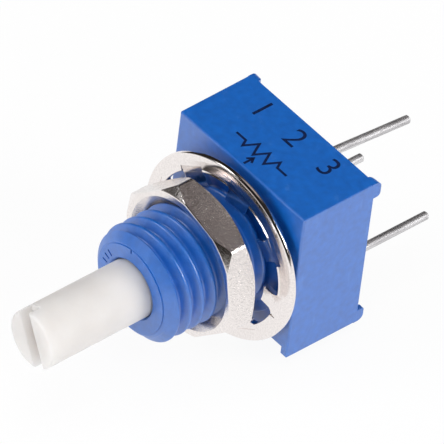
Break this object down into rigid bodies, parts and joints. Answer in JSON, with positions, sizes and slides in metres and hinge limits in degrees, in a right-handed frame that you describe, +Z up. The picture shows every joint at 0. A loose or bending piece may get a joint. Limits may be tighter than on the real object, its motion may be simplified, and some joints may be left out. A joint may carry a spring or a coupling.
{
  "type": "panel mount potentiometer",
  "caption": "Small square sealed potentiometer with a threaded bushing, slotted shaft, hex nut, toothed lock washer and round rear terminals.",
  "frame": {"origin": "on the shaft axis, in the plane of the raised mounting face that bears on the panel", "axes": "-Y along the shaft away from the body, +Y along the terminals, +Z up, +X to the right seen from the front"},
  "size_m": [0.0104, 0.0239, 0.0103],
  "materials": {
    "housing": "semi-gloss moulded",
    "shaft": "satin moulded",
    "seal_rubber": "matte",
    "contact_metal": "bright spring alloy",
    "ceramic": "unglazed",
    "track": "fired film",
    "film_metal": "fired silver film",
    "terminal": "tinned",
    "solder": "dull",
    "potting": "cast",
    "nickel": "bright nickel plate"
  },
  "bodies": {
    "case": {"housing": "housing", "substrate": "ceramic", "resistive_track": "track", "pad_left": "film_metal", "pad_right": "film_metal", "collector": "film_metal", "pin_left": "terminal", "pin_centre": "terminal", "pin_right": "terminal", "solder_left": "solder", "solder_centre": "solder", "solder_right": "solder", "back_seal": "potting"},
    "rotor": {"shaft": "shaft", "o_ring": "seal_rubber", "wiper": "contact_metal"},
    "washer": {"lock_washer": "nickel"},
    "nut": {"hex_nut": "nickel"}
  },
  "joints": [
    {"name": "shaft_turn", "type": "hinge", "parent": "case", "child": "rotor", "pos_m": [0, 0, 0], "axis": [0, -1, 0], "range_deg": [-178.8, 121.2]},
    {"name": "washer_slide", "type": "slide", "parent": "case", "child": "washer", "axis": [0, -1, 0], "range_m": [0, 0.00317]},
    {"name": "nut_turn", "type": "hinge", "parent": "washer", "child": "nut", "pos_m": [0, 0, 0], "axis": [0, -1, 0], "range_deg": [0, 1440]}
  ],
  "couplings": [
    {"joint": "nut_turn", "follows": "washer_slide", "rad_per_m": 7915.8}
  ]
}
